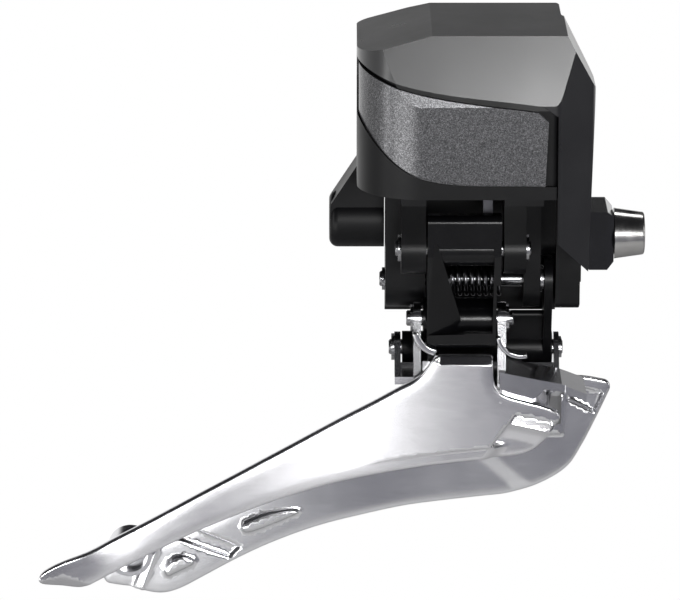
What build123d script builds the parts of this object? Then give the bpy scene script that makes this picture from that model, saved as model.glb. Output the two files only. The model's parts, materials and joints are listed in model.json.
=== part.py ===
"""Electronic front derailleur for a double chainring road bicycle.

A motor unit sits on a base bracket that clamps to the frame's hanger tab. Two parallel links hang from the
bracket and carry the chain guide, which they move sideways between the chainrings.

Frame: millimetres, +X forwards, +Y inboard (towards the seat tube), +Z up. The origin is the middle of the
concave face that seats on the hanger tab, on the axis of the fixing bolt.
"""

import os
from math import atan2, cos, degrees, pi, radians, sin

from build123d import *

os.makedirs("parts", exist_ok=True)

# --- driving dimensions -------------------------------------------------------------------------------------
LINK_LENGTH = 16.0  # pivot to pivot, both links
REST_TILT = 18.0  # degrees that the links lean inboard in the small chainring position
OUTER_TOP = (-17.0, 1.6)  # (Y, Z) of the outer link's upper pivot
INNER_TOP = (-4.0, -8.0)  # (Y, Z) of the inner link's upper pivot
PIN_R = 1.5  # all four link pins
RUNNING = 0.05  # radial clearance of a pin in its bush
BUSH_R = 2.2
GAP = 0.3  # axial clearance between moving faces

CRANK = 6.0  # output crank, and the matching arm on the outer link
OUTPUT_AXIS = (-9.5, 24.5)  # (Y, Z) of the output shaft
IDLER_AXIS = (-5.5, 35.2)
MOTOR_AXIS = (-14.6, 32.4)
FINE, COARSE = 0.5, 0.6  # gear modules
PINION_TEETH, WHEEL_TEETH = 12, 26

SEAT_R = 17.0  # radius of the concave seat
BOLT_R = 2.45  # M5 fixing bolt
HOLE_R = 2.5
WASHER_X = 2.4  # inner face of the radius washer, which leaves room for the hanger tab

CASE_X = (-42.0, 2.8)
CASE_Y = (-27.0, 6.0)
CASE_TOP = 44.5
CASE_FLOOR = 13.7
STEP_X = -3.2  # the casing narrows here so that the bolt can be reached
COVER_WALL = 1.2
TUB_WALL = 1.6
SOCKET_R, INSERT_R = 3.2, 2.4  # cable connector socket and its insulator

OUTER_T = 1.8  # outer guide plate
INNER_T = 1.5  # inner guide plate


def swung(pivot, length, tilt):
    """The lower end of a link that hangs from pivot, leaning inboard by tilt degrees."""
    return (pivot[0] + length * sin(radians(tilt)), pivot[1] - length * cos(radians(tilt)))


OUTER_LOW = swung(OUTER_TOP, LINK_LENGTH, REST_TILT)
INNER_LOW = swung(INNER_TOP, LINK_LENGTH, REST_TILT)
ARM_END = (OUTER_TOP[0] + CRANK, OUTER_TOP[1])
CRANK_PIN = (OUTPUT_AXIS[0] + CRANK, OUTPUT_AXIS[1])

# Stations along X, from the tail (negative) to the nose.
EAR_LEFT_OUTER = (-33.6, -28.9)
EAR_LEFT_INNER = (-36.5, -28.9)
EAR_RIGHT_OUTER = (-14.1, -9.9)
EAR_RIGHT_INNER = (-9.9, -6.7)
LINK_X = (-28.6, -14.6)
ARM_LEFT = (-28.6, -26.4)
ARM_RIGHT = (-5.8, -4.2)
GUIDE_EAR_LEFT = (-31.1, -29.7)
GUIDE_EAR_RIGHT = (-15.0, -13.4)
REAR_EAR_LEFT = (-34.6, -33.4)
REAR_EAR_RIGHT = (-3.6, -2.6)
BARREL_X = (-33.1, -3.9)
ROD_X = (-17.8, -16.0)


# --- small helpers ------------------------------------------------------------------------------------------
def save(shape, name):
    """Writes one sub-part."""
    export_step(shape, f"parts/{name}.step")


def joined(*shapes):
    """One node made of several separate solids."""
    return Compound([s for shape in shapes for s in shape.solids()])


def rod_x(centre, radius, x0, x1):
    """A cylinder along X with its axis at centre = (Y, Z)."""
    return Pos((x0 + x1) / 2, *centre) * Rot(0, 90, 0) * Cylinder(radius, abs(x1 - x0))


def rod_y(x, z, radius, y0, y1):
    """A cylinder along Y."""
    return Pos(x, (y0 + y1) / 2, z) * Rot(90, 0, 0) * Cylinder(radius, abs(y1 - y0))


def rod_z(x, y, radius, z0, z1):
    """A cylinder along Z."""
    return Pos(x, y, (z0 + z1) / 2) * Cylinder(radius, abs(z1 - z0))


def block(x, y, z):
    """A box from its three ranges."""
    size = [abs(r[1] - r[0]) for r in (x, y, z)]
    return Pos(*[(r[0] + r[1]) / 2 for r in (x, y, z)]) * Box(*size)


def slab_yz(sketch, x0, x1):
    """A sketch drawn in (Y, Z), thickened along X from x0 to x1."""
    return extrude(Plane(origin=(x0, 0, 0), x_dir=(0, 1, 0), z_dir=(1, 0, 0)) * sketch, x1 - x0)


def slab_xz(sketch, y0, y1):
    """A sketch drawn in (X, Z), thickened along Y from y0 to y1."""
    return extrude(Plane(origin=(0, y1, 0), x_dir=(1, 0, 0), z_dir=(0, -1, 0)) * sketch, y1 - y0)


def around(*discs):
    """The outline that wraps a set of discs, each ((Y, Z), radius)."""
    return make_hull([e for c, r in discs for e in (Pos(*c) * Circle(r)).edges()])


def lobe(x, *discs):
    """A lug between two X stations that wraps a set of discs."""
    return slab_yz(around(*discs), *x)


def outline(*points):
    """A closed flat outline through corners."""
    return make_face(Polyline(*points, close=True))


def loop(*curves):
    """A closed flat outline through lines and smooth curves given in order."""
    return make_face(Wire([e for curve in curves for e in curve.edges()]))


def ring_x(centre, outer, inner, x0, x1):
    """A washer or bush along X."""
    return rod_x(centre, outer, x0, x1) - rod_x(centre, inner, x0 - 1, x1 + 1)


def circlip(centre, x0, groove_r, outer_r=2.6, thickness=0.6):
    """An open retaining ring that sits in a pin's groove."""
    mouth = block((x0 - 1, x0 + 2), (centre[0] - 0.9, centre[0] + 0.9), (centre[1], centre[1] + 2 * outer_r))
    return ring_x(centre, outer_r, groove_r, x0, x0 + thickness) - mouth


def grooved_pin(centre, x0, x1, grooves, groove_r=1.15):
    """A link pin with chamfered ends and circlip grooves."""
    pin = chamfer(rod_x(centre, PIN_R, x0, x1).edges().filter_by(GeomType.CIRCLE), 0.25)
    for x in grooves:
        pin -= ring_x(centre, PIN_R + 1, groove_r, x, x + 0.6)
    return pin


def gear(centre, module, teeth, x, first_tooth):
    """A spur gear with straight-flanked teeth and a little backlash."""
    pitch, root, tip = module * teeth / 2, module * (teeth / 2 - 1.2), module * (teeth / 2 + 0.85)
    half = (pi * module / 2 - 0.16) / 2
    corners = []
    for i in range(teeth):
        a = radians(first_tooth) + 2 * pi * i / teeth
        for radius, width in ((root, half + 0.42 * module), (tip, half - 0.3 * module)):
            corners += [(radius, a - width / radius), (radius, a + width / radius)]
        corners[-4:] = [corners[-4], corners[-2], corners[-1], corners[-3]]
    profile = outline(*[(r * cos(a), r * sin(a)) for r, a in corners])
    return slab_yz(Pos(*centre) * profile, *x)


def bearing_angle(a, b):
    """Direction from axis a to axis b in degrees."""
    return degrees(atan2(b[1] - a[1], b[0] - a[0]))


# --- motor unit casing --------------------------------------------------------------------------------------
def case_plan(inset):
    """The casing seen from above, moved in by inset."""
    left, right, step = CASE_X[0] + inset, CASE_X[1] - inset, STEP_X - inset
    front, back = CASE_Y[0] + inset, CASE_Y[1] - inset
    facet = 7.0 - 0.45 * inset
    shape = outline(
        (left, back), (left, front), (right - facet, front), (right, front + facet - 1.5),
        (right, -10.5), (step, -6.5), (step, back),
    )
    tail = [v for v in shape.vertices() if v.X < left + 0.1 and v.Y < front + 0.1]
    shape = fillet(tail, 12.0 - inset)
    corners = [v for v in shape.vertices() if v.X > -20 or v.Y > back - 0.1]
    return fillet(corners, 2.6 - inset * 0.5)


def case_body(inset, z0):
    """The faceted casing volume: its plan raised to the roof, with the slopes of the roof cut."""
    body = Pos(0, 0, z0) * extrude(case_plan(inset), CASE_TOP - inset - z0)
    top, big = CASE_TOP - inset, 160
    slopes = (
        ((0, -24.0 + inset, top), (0, -1, 0.235)),  # outboard
        ((-2.7 - inset, 0, top), (1, 0, 0.52)),  # nose
        ((-28.0 + inset, 0, top), (-0.27, 0, 1)),  # tail
        ((0, CASE_Y[1] - 1 - inset, top), (0, 1, 0.9)),  # inboard
        ((CASE_X[1] - inset, 0, 33), (1, 0, -0.03)),  # flank below the nose
    )
    for origin, normal in slopes:
        body -= extrude(Plane(origin=origin, z_dir=normal) * Rectangle(big, big), 80)
    return body


def cover_opening():
    """The part of the outboard side that the cover leaves open, in (X, Z)."""
    edge = Spline((-48, 42.9), (-36.5, 36.4), (-24, 33.6), (-7.0, 31.6))
    return loop(edge, Polyline((-7.0, 31.6), (-4.4, 29.6), (-4.2, -40), (-48, -40), (-48, 42.9)))


def top_cover():
    """The glossy cover: roof, nose flank and tail, open over the panel and underneath."""
    shell = case_body(0, -20) - case_body(COVER_WALL, -30)
    cover = shell - slab_xz(cover_opening(), -60, -12)
    cover -= block((-60, STEP_X - 0.02), (-12.5, 20), (-40, 34))
    cover -= block((-60, 20), (-7.5, 20), (-40, 34))
    hem = Plane(origin=(-4.2, -27, 5.0), x_dir=(6.6, 0, -7.2), z_dir=(-7.2, 0, -6.6))
    cover -= extrude(hem * Rectangle(40, 160), 60)
    return cover.solids().sort_by(SortBy.VOLUME)[-1]


def panel_bottom():
    """The lower edge of the side panel, in (X, Z)."""
    return Spline((-6.7, 16.2), (-24.0, 16.6), (-33.0, 19.0), (-38.9, 24.0), (-48, 38))


def side_panel():
    """The dark metallic panel let into the outboard side."""
    top = Spline((-48, 41.6), (-36.5, 35.4), (-24, 32.4), (-8.2, 30.4))
    shape = loop(top, Polyline((-8.2, 30.4), (-6.2, 28.6), (-6.7, 16.2)), panel_bottom(),
                 Line((-48, 38), (-48, 41.6)))
    skin = case_body(0.35, 0) - case_body(COVER_WALL, -1)
    return (skin & slab_xz(shape, -60, -13)).solids().sort_by(SortBy.VOLUME)[-1]


def housing_skirt():
    """The outer skin of the tub under the panel and round the tail, flush with the cover."""
    skin = case_body(0, CASE_FLOOR) - case_body(COVER_WALL + 0.4, CASE_FLOOR - 1)
    skin &= block((-60, -4.6), (-60, 20), (0, 33.9))
    above = loop(panel_bottom(), Polyline((-48, 38), (-48, 60), (-2, 60), (-2, 16.2), (-6.7, 16.2)))
    return skin - slab_xz(above, -60, -12.9)


def housing():
    """The tub that holds the motor and gears, with its floor, rod slot and connector boss."""
    tub = case_body(COVER_WALL, CASE_FLOOR) & block((-60, 20), (-60, 20), (0, 40))
    hollow = case_body(COVER_WALL + TUB_WALL, CASE_FLOOR + TUB_WALL)
    tub = tub - hollow + housing_skirt()
    slot = block((ROD_X[0] - 0.6, ROD_X[1] + 0.6), (-11.6, -3.6), (CASE_FLOOR - 3, CASE_FLOOR + TUB_WALL + 1))
    boss = fillet(rod_x((0, 3), 5.5, -47.3, -36.7).edges().sort_by(Axis.X)[0], 1.7)
    boss += slab_xz(outline((-42.0, 14.5), (-36.7, 14.5), (-36.7, 3), (-46.9, 3), (-46.9, 7.0)), -4.4, 4.2)
    bore = rod_x((0, 3), SOCKET_R, -50, -40.3) + rod_x((0, 3), INSERT_R, -41, -37.9)
    legs = [rod_z(x, y, 2.3, CASE_FLOOR, 20.5) for x, y in COVER_SCREWS]
    tapped = [rod_z(x, y, 1.0, CASE_FLOOR - 4, 19.5) for x, y in COVER_SCREWS]
    body = tub + boss
    for leg in legs:
        body += leg
    body -= slot
    body -= bore
    for hole in tapped:
        body -= hole
    return body


COVER_SCREWS = ((-33.0, 2.2), (-22.5, 2.2), (-12.5, 2.2))


def cover_screws():
    """Three small screws that hold the motor unit to the bracket from below."""
    screws = []
    for x, y in COVER_SCREWS:
        screw = rod_z(x, y, 1.7, 9.6, 10.9) + rod_z(x, y, 0.98, 10.8, 18.5)
        screws.append(screw - rod_z(x, y, 0.75, 9.0, 10.3))
    return joined(*screws)


# --- base bracket and hanger mount --------------------------------------------------------------------------
def mount_body():
    """The cast bracket: deck, two ears for each upper pin, and the block with the concave seat."""
    deck = block((-36.5, -3.5), (-11.6, 5.4), (10.9, CASE_FLOOR))
    deck += block((-33.6, -28.9), (-21, 0), (10.9, CASE_FLOOR))
    deck += block((-14.1, -6.7), (-21, 0), (10.9, CASE_FLOOR))
    outer_up, inner_up = (OUTER_TOP[0] + 0.8, 12.4), (INNER_TOP[0] + 1.0, 12.0)
    body = deck
    for x in (EAR_LEFT_OUTER, EAR_RIGHT_OUTER):
        body += lobe(x, (OUTER_TOP, 4.9), (outer_up, 1.3), ((outer_up[0] + 5, 12.4), 1.3))
    for x in (EAR_LEFT_INNER, EAR_RIGHT_INNER):
        body += lobe(x, (INNER_TOP, 5.4), (inner_up, 1.6), ((inner_up[0] - 5.5, 12.0), 1.6))
    body += lobe((-6.8, 2.6), ((0, 0), 4.2), ((0, 9.0), 4.6))  # hub of the fixing bolt
    body += block((-3.6, 2.6), (-6.4, 6.4), (-8.0, 12.0))
    body += fillet(block((-3.6, 2.6), (-6.0, 6.0), (-13.6, -4.0)).edges().filter_by(Axis.X), 1.2)
    body -= Pos(SEAT_R, 0, 0) * Cylinder(SEAT_R, 90)  # concave seat, curved about a vertical axis
    body -= rod_x((0, 0), HOLE_R, -12, 4)
    body -= chamfer_cut()
    body += block((-36.5, -3.2), (3.9, 5.4), (-16.5, CASE_FLOOR))
    body -= rod_y(*SUPPORT_AXIS, 2.0, -0.5, 8)
    slot = block((ROD_X[0] - 0.6, ROD_X[1] + 0.6), (-12.6, -5.0), (0, 20))
    body -= slot
    for x in (EAR_LEFT_OUTER, EAR_RIGHT_OUTER):
        body -= rod_x(OUTER_TOP, PIN_R, x[0] - 1, x[1] + 1)
    for x in (EAR_LEFT_INNER, EAR_RIGHT_INNER):
        body -= rod_x(INNER_TOP, PIN_R, x[0] - 1, x[1] + 1)
    body -= rod_x(INNER_TOP, 4.6, ARM_RIGHT[0] - 0.5, ARM_RIGHT[1] + 0.5)
    for x, y in COVER_SCREWS:
        body -= rod_z(x, y, 1.25, 5, 20)
    return body


def chamfer_cut():
    """The lead-in of the threaded bolt hole."""
    return Pos(0.05, 0, 0) * Rot(0, 90, 0) * Cone(HOLE_R, HOLE_R + 0.5, 0.5)


SUPPORT_AXIS = (-27.2, 9.9)  # (X, Z) of the support bolt


def radius_washer():
    """The shaped washer behind the hanger tab: square, with a bulged inner face and a spherical waist."""
    body = block((WASHER_X, 7.6), (-5.8, 5.8), (-5.8, 5.7))
    body = chamfer(body.faces().sort_by(Axis.X)[-1].edges(), 1.3)
    body &= Pos(44 + WASHER_X, 0, 0) * Cylinder(44, 40)
    body -= Pos(7.9, 0, 0) * Rot(0, 90, 0) * Cone(3.55, 4.95, 1.4)
    return body - rod_x((0, 0), 2.75, 0, 12)


def fixing_bolt():
    """The M5 fixing bolt with its tapered head and 5 mm hexagon socket."""
    head = Pos(10.75, 0, 0) * Rot(0, 90, 0) * Cone(4.95, 4.1, 5.9)
    head = fillet(head.edges().sort_by(Axis.X)[-1], 0.5)
    seat = Pos(7.6, 0, 0) * Rot(0, 90, 0) * Cone(3.4, 4.3, 0.7)
    shank = rod_x((0, 0), BOLT_R, -6.2, 8.2)
    shank = chamfer(shank.faces().sort_by(Axis.X)[0].edges(), 0.6)
    socket = slab_yz(RegularPolygon(2.5, 6, major_radius=False), 10.2, 20)
    return head + seat + shank - socket


def support_bolt():
    """The set screw that braces the bracket against the frame."""
    x, z = SUPPORT_AXIS
    screw = chamfer(rod_y(x, z, 1.95, 0.0, 9.4).edges().filter_by(GeomType.CIRCLE), 0.4)
    return screw - slab_xz(Pos(x, z) * RegularPolygon(1.0, 6, major_radius=False), -9, 2.4)


# --- link pins ----------------------------------------------------------------------------------------------
def outer_top_pin():
    return grooved_pin(OUTER_TOP, -34.7, -8.9, (-34.2, -9.9))


def inner_top_pin():
    return grooved_pin(INNER_TOP, -37.6, -4.4, (-37.1, -6.5))


def outer_low_pin():
    return grooved_pin(OUTER_LOW, -32.5, -11.9, (-31.7, -13.4))


def inner_low_pin():
    return grooved_pin(INNER_LOW, -35.7, -1.8, (-35.2, -2.6))


def top_pin_clips():
    return joined(circlip(OUTER_TOP, -34.2, 1.15), circlip(OUTER_TOP, -9.9, 1.15),
                  circlip(INNER_TOP, -37.1, 1.15, 2.2), circlip(INNER_TOP, -6.5, 1.15))


def low_pin_clips():
    return joined(circlip(OUTER_LOW, -31.7, 1.15), circlip(OUTER_LOW, -13.4, 1.15, 2.7),
                  circlip(INNER_LOW, -35.2, 1.15), circlip(INNER_LOW, -2.6, 1.15, 2.1))


def bush_pair(centre, left, right, length=3.0):
    """Two plain bushes pressed into the ends of a barrel."""
    r = PIN_R + RUNNING
    return joined(ring_x(centre, BUSH_R, r, left, left + length),
                  ring_x(centre, BUSH_R, r, right - length, right))


# --- links --------------------------------------------------------------------------------------------------
LOW_BARREL = (-29.3, -15.4)


def outer_link():
    """The broad outer link with its raised head, slanted window and drive arm."""
    head = (OUTER_TOP[0] - 3.2, OUTER_TOP[1] + 5.9)
    inner_head = (OUTER_TOP[0] - 0.4, OUTER_TOP[1] + 5.6)
    foot = (OUTER_LOW[0] - 4.3, OUTER_LOW[1] - 3.3)
    body = lobe(LINK_X, (OUTER_TOP, 4.4), (OUTER_LOW, 3.6), (head, 1.4), (inner_head, 1.4), (foot, 1.4))
    body -= block((LOW_BARREL[1], 0), (-40, 0), (-40, OUTER_TOP[1] - 6.5))
    body -= around_window() + window_facet()
    body += lobe(LOW_BARREL, (OUTER_LOW, 4.0)) + lobe(LINK_X, (OUTER_TOP, 3.3))
    arm = (ROD_X[0] - GAP - 2.2, ROD_X[0] - GAP)
    body += lobe(arm, (OUTER_TOP, 3.3), (ARM_END, 2.3))
    relief = lobe((ROD_X[0] - GAP, ROD_X[1] + GAP), (ARM_END, 2.9), ((ARM_END[0] + 7, ARM_END[1] + 22), 2.9),
                  ((ARM_END[0] + 6, ARM_END[1] - 7), 2.9))
    body -= relief
    for c in (OUTER_TOP, OUTER_LOW):
        body -= rod_x(c, PIN_R + 0.3, -50, 10)
    for c, x in ((OUTER_TOP, LINK_X), (OUTER_LOW, LOW_BARREL)):
        body -= rod_x(c, BUSH_R, x[0] - 1, x[0] + 3) + rod_x(c, BUSH_R, x[1] - 3, x[1] + 1)
    body -= rod_x(ARM_END, 1.0, arm[0] - 1, arm[1] + 1)
    return body


def around_window():
    """The slanted opening through the outer link, in (X, Z)."""
    opening = outline((-26.4, 2.6), (-15.9, 2.6), (-16.1, -15.0), (-21.5, -15.0))
    return slab_xz(opening, -40, 20)


def window_facet():
    """The slanted face that runs into the left side of the window."""
    top, low = Vector(-27.3, -21.6, 4.2), Vector(-28.7, -18.1, -15.4)
    deep = Vector(-21.5, -15.4, -15.0)
    normal = (deep - top).cross(low - top)
    if normal.Y > 0:
        normal = -normal
    front = extrude(Plane(origin=top, x_dir=low - top, z_dir=normal) * Rectangle(90, 90), 30)
    return front & slab_xz(outline((-27.3, 4.2), (-28.7, -15.4), (-21.4, -15.2), (-26.2, 2.7)), -40, -10)


def arm_pin():
    """The pin that joins the drive rod to the outer link's arm."""
    return rod_x(ARM_END, 1.0, ROD_X[0] - GAP - 2.2, ROD_X[1] + 0.1)


def inner_link():
    """The inner link: a slab arm at the nose, an arm at the tail, a web and a wide lower barrel."""
    body = lobe(ARM_RIGHT, (INNER_TOP, 4.0), (INNER_LOW, 3.1))
    body += lobe(ARM_LEFT, (INNER_TOP, 3.6), (INNER_LOW, 3.1))
    body += lobe(BARREL_X, (INNER_LOW, 3.1))
    start = (INNER_TOP[0] + 2.6, INNER_TOP[1] - 8.0)
    body += lobe((ARM_LEFT[0], ARM_RIGHT[1]), (start, 0.9), (INNER_LOW, 1.9))
    body -= rod_x(INNER_TOP, PIN_R + RUNNING, -50, 10)
    body -= rod_x(INNER_LOW, PIN_R + 0.3, -50, 10)
    body -= rod_x(INNER_LOW, BUSH_R, -50, BARREL_X[0] + 3) + rod_x(INNER_LOW, BUSH_R, BARREL_X[1] - 3, 10)
    return body


def return_spring():
    """The torsion spring coiled round the inner top pin."""
    radius, pitch, wire = 2.9, 1.25, 0.5
    start = -24.4
    coil = Helix(pitch, 8 * pitch, radius)
    profile = Plane(origin=coil @ 0, z_dir=coil % 0) * Circle(wire)
    spring = sweep(profile, path=coil)
    return Pos(start, *INNER_TOP) * Rot(0, 90, 0) * spring


# --- chain guide --------------------------------------------------------------------------------------------
def curved_band(points, thickness, z0, z1):
    """A wall that follows a smooth line seen from above; points give (X, Y) of its outboard face."""
    face_line = Spline(*points)
    other = Spline(*[(x, y + thickness) for x, y in points])
    ends = [Line(face_line @ 0, other @ 0), Line(face_line @ 1, other @ 1)]
    return Pos(0, 0, z0) * extrude(make_face(Wire([face_line, other, *ends])), z1 - z0)


OUTER_LINE = ((-104.4, -21.2), (-98, -18.6), (-85, -17.8), (-60, -18.2), (-30, -20.2), (-10, -20.6),
              (-2.0, -20.2))
INNER_LINE = ((-94, -9.9), (-75, -10.3), (-50, -10.2), (-28, -9.0), (-8, -8.2), (8.5, -7.6))


def outer_band(z0, z1):
    """The wall that the outer plate is cut from."""
    return curved_band(OUTER_LINE, OUTER_T, z0, z1)


def inner_band(z0, z1):
    """The wall that the inner plate is cut from."""
    return curved_band(INNER_LINE, INNER_T, z0, z1)


def outer_plate_outline():
    """Outboard guide plate seen from the side: long tail, waist and neck."""
    top = Spline((-102.5, -62.4), (-94.1, -59.6), (-76.0, -49.5), (-55.0, -37.8), (-34.2, -25.9),
                 (-30.5, -23.6),
                 (-27.2, -19.4))
    front = Spline((-16.0, -19.0), (-15.4, -24.4), (-11.6, -27.6), (-3.4, -30.0))
    nose = Spline((-3.6, -33.6), (-5.2, -36.8), (-8.4, -38.8))
    low = Spline((-8.4, -38.8), (-30.5, -41.2), (-57.6, -48.5), (-72.0, -54.3), (-89.2, -63.9),
                 (-95.2, -66.7))
    return loop(top, Polyline((-27.2, -19.4), (-26.4, -19.0), (-16.0, -19.0)), front,
                Line((-3.4, -30.0), (-3.6, -33.6)), nose, low,
                Polyline((-95.2, -66.7), (-103.6, -64.6), (-102.5, -62.4)))


def outer_plate():
    """The outboard guide plate."""
    plate = slab_xz(outer_plate_outline(), -26, -12) & outer_band(-80, -10)
    corners = ((-14.9, -36.8), (-11.6, -31.2), (-2, -31.9), (-2, -33.4), (-6.4, -35.2))
    pocket = slab_xz(outline(*corners), -30, -19.9)
    return plate - pocket


NOSE_SCREW = (-8.6, -32.6)  # (X, Z)
TAIL_SCREW = (-86.0, -60.4)


def inner_plate_outline():
    """Inboard guide plate seen from the side."""
    low = Spline((-80.1, -70.5), (-72.6, -67.6), (-57.2, -59.4), (-45.2, -55.2), (-30.5, -52.1),
                 (-12.1, -50.4),
                 (-1.0, -45.1), (5.2, -33.6), (7.4, -28.6))
    top = Spline((-0.5, -26.6), (-12, -29.0), (-30, -34.0), (-52, -46.0), (-74, -57.4), (-90, -63.0))
    return loop(Polyline((-90, -63.0), (-92.0, -66.8), (-91.2, -68.8), (-84.9, -69.6), (-80.1, -70.5)), low,
                Polyline((7.4, -28.6), (6.8, -27.5), (-0.5, -26.6)), top)


def inner_plate():
    """The inboard guide plate with its pressed ribs."""
    plate = slab_xz(inner_plate_outline(), -20, -2) & inner_band(-80, -20)
    plate -= rod_y(*NOSE_SCREW, 1.3, -30, 0)
    return plate - rod_y(*TAIL_SCREW, 1.1, -30, 0)


BRIDGE_Z = (-28.4, -26.9)


def guide_bridge():
    """The formed steel bracket: bridge over the chain and the four ears of the lower pins."""
    deck = block((-31.1, -13.4), (-18.9, 2.0), BRIDGE_Z) + block((-34.6, -2.6), (-7.4, 2.6), BRIDGE_Z)
    nose = outline((-14.6, -22.5), (-2.7, -25.0), (2.0, -26.8), (2.0, -28.3), (-2.9, -26.5), (-14.6, -24.0))
    lip = outline((-14.6, -22.6), (-6.0, -24.4), (-6.4, -26.6), (-8.6, -28.2), (-13.5, -27.9), (-14.6, -27.0))
    deck += slab_xz(nose, -18.9, -7.0) + slab_xz(lip, -18.9, -17.7)
    for x in (REAR_EAR_LEFT, REAR_EAR_RIGHT):
        deck += lobe(x, (INNER_LOW, 3.0), ((INNER_LOW[0] - 5, -27.6), 0.7), ((INNER_LOW[0] + 1, -27.6), 0.7))
    for x in (GUIDE_EAR_LEFT, GUIDE_EAR_RIGHT):
        deck += lobe(x, (OUTER_LOW, 3.2), ((-16.8, -27.6), 0.7), ((-9.6, -27.6), 0.7))
    for x, pivot in ((REAR_EAR_LEFT, INNER_LOW), (REAR_EAR_RIGHT, INNER_LOW),
                     (GUIDE_EAR_LEFT, OUTER_LOW), (GUIDE_EAR_RIGHT, OUTER_LOW)):
        deck -= rod_x(pivot, PIN_R, x[0] - 1, x[1] + 1)
    deck -= rod_x(INNER_LOW, 3.5, BARREL_X[0] - GAP, BARREL_X[1] + GAP)
    for x, z in BRIDGE_RIVETS:
        deck -= rod_z(x, z, 0.8, -40, -20)
    deck += block((-29.4, -16.6), (-18.9, -17.7), (BRIDGE_Z[0], -20.4))
    deck -= inner_band(-40, -20) & block((-10, 10), (-20, 0), (-40, -20))
    return (deck - outer_band(-60, -10)).solids().sort_by(SortBy.VOLUME)[-1]


BRIDGE_RIVETS = ((-22.0, -13.2), (-26.5, -13.2))


def end_stop():
    """The plastic block under the outer link's foot that quietens the end of the stroke."""
    body = fillet(block((-28.4, -15.9), (-17.6, -9.4), (BRIDGE_Z[1], -19.2)).edges().filter_by(Axis.X), 0.8)
    body -= rod_x(OUTER_LOW, 4.5, -40, 0)
    for x, y in BRIDGE_RIVETS:
        body -= rod_z(x, y, 0.8, -40, -23.9)
    return body


def stop_rivets():
    """The two pegs that hold the end stop on the bridge."""
    return joined(*[rod_z(x, y, 0.8, -28.5, -24.0) + rod_z(x, y, 1.3, -29.0, -28.4)
                    for x, y in BRIDGE_RIVETS])


def nose_screw():
    """The screw that closes the guide at the nose, put in from the inboard side."""
    x, z = NOSE_SCREW
    head = fillet(rod_y(x, z, 2.1, -6.9, -5.3).edges().sort_by(Axis.Y)[-1], 0.3) - inner_band(-60, -10)
    head = head.solids().sort_by(SortBy.VOLUME)[-1]
    screw = head + rod_y(x, z, 1.27, -18.6, -6.6)
    return screw - slab_xz(Pos(x, z) * RegularPolygon(1.0, 6, major_radius=False), -6.1, 0)


def nose_nut():
    """The nut welded behind the outer plate that takes the nose screw."""
    x, z = NOSE_SCREW
    nut = slab_xz(Pos(x, z) * RegularPolygon(2.2, 6, major_radius=False), -19.4, -17.1)
    nut -= rod_y(x, z, 1.27, -19.5, 0)
    return (nut - outer_band(-60, -10)).solids().sort_by(SortBy.VOLUME)[-1]


def nose_spacer():
    """The tube between the nut and the inner plate on the nose screw."""
    x, z = NOSE_SCREW
    tube = rod_y(x, z, 2.3, -17.1, -7.6) - rod_y(x, z, 1.27, -30, 0)
    return (tube - inner_band(-60, -10)).solids().sort_by(SortBy.VOLUME)[-1]


def tail_spacer():
    """The rolled collar that ties the tails of the two plates together."""
    x, z = TAIL_SCREW
    collar = rod_y(x, z, 4.4, -15.9, -10.6) - rod_y(x, z, 3.5, -15.9, -10.6)
    web = rod_y(x, z, 3.6, -13.9, -12.7) + rod_y(x, z, 1.9, -16.8, -9.4)
    body = collar + web - rod_y(x, z, 1.07, -30, 0) - outer_band(-80, -10) - inner_band(-80, -10)
    return body.solids().sort_by(SortBy.VOLUME)[-1]


def tail_screw():
    """The screw through the inner tail into the collar."""
    x, z = TAIL_SCREW
    head = fillet(rod_y(x, z, 1.9, -8.85, -7.7).edges().sort_by(Axis.Y)[-1], 0.3)
    head -= inner_band(-80, -10)
    screw = head + rod_y(x, z, 1.07, -15.9, -8.5)
    return screw - slab_xz(Pos(x, z) * RegularPolygon(0.9, 6, major_radius=False), -8.2, 0)


# --- motor, gears and drive rod -----------------------------------------------------------------------------
OUTPUT_X, IDLER_X, MOTOR_GEAR_X = (-12.8, -10.8), (-10.5, -8.7), (-10.7, -8.5)
SHAFT_R = 1.2


def motor_can():
    """The electric motor, lying fore and aft."""
    can = fillet(rod_x(MOTOR_AXIS, 5.8, -34.0, -16.2).edges().filter_by(GeomType.CIRCLE), 0.6)
    return can + rod_x(MOTOR_AXIS, 2.4, -16.3, -14.2) - rod_x(MOTOR_AXIS, 0.75, -22, -10)


def motor_pinion():
    """The motor's output shaft with its pinion."""
    phase = bearing_angle(IDLER_AXIS, MOTOR_AXIS) + 180 - 180 / PINION_TEETH
    return gear(MOTOR_AXIS, FINE, PINION_TEETH, MOTOR_GEAR_X, phase) + rod_x(MOTOR_AXIS, 0.7, -21.5, -6.8)


def idler_gear():
    """The two-step reduction gear."""
    wheel = gear(IDLER_AXIS, FINE, WHEEL_TEETH, IDLER_X, bearing_angle(IDLER_AXIS, MOTOR_AXIS))
    phase = bearing_angle(IDLER_AXIS, OUTPUT_AXIS) + 180 / PINION_TEETH
    small = gear(IDLER_AXIS, COARSE, PINION_TEETH, (OUTPUT_X[0] - 0.2, OUTPUT_X[1] + 0.2), phase)
    return wheel + small + rod_x(IDLER_AXIS, 2.2, OUTPUT_X[1], IDLER_X[0] + 0.1) + rod_x(
        IDLER_AXIS, SHAFT_R, -14.1, -6.8)


def output_gear():
    """The output shaft: wheel, crank and crank pin."""
    wheel = gear(OUTPUT_AXIS, COARSE, WHEEL_TEETH, OUTPUT_X, bearing_angle(OUTPUT_AXIS, IDLER_AXIS))
    crank = lobe((-15.7, -14.6), (OUTPUT_AXIS, 2.4), (CRANK_PIN, 2.2))
    pin = rod_x(CRANK_PIN, 1.0, ROD_X[0] - 0.1, -15.6)
    return wheel + crank + pin + rod_x(OUTPUT_AXIS, SHAFT_R, -15.7, -6.8)


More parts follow.
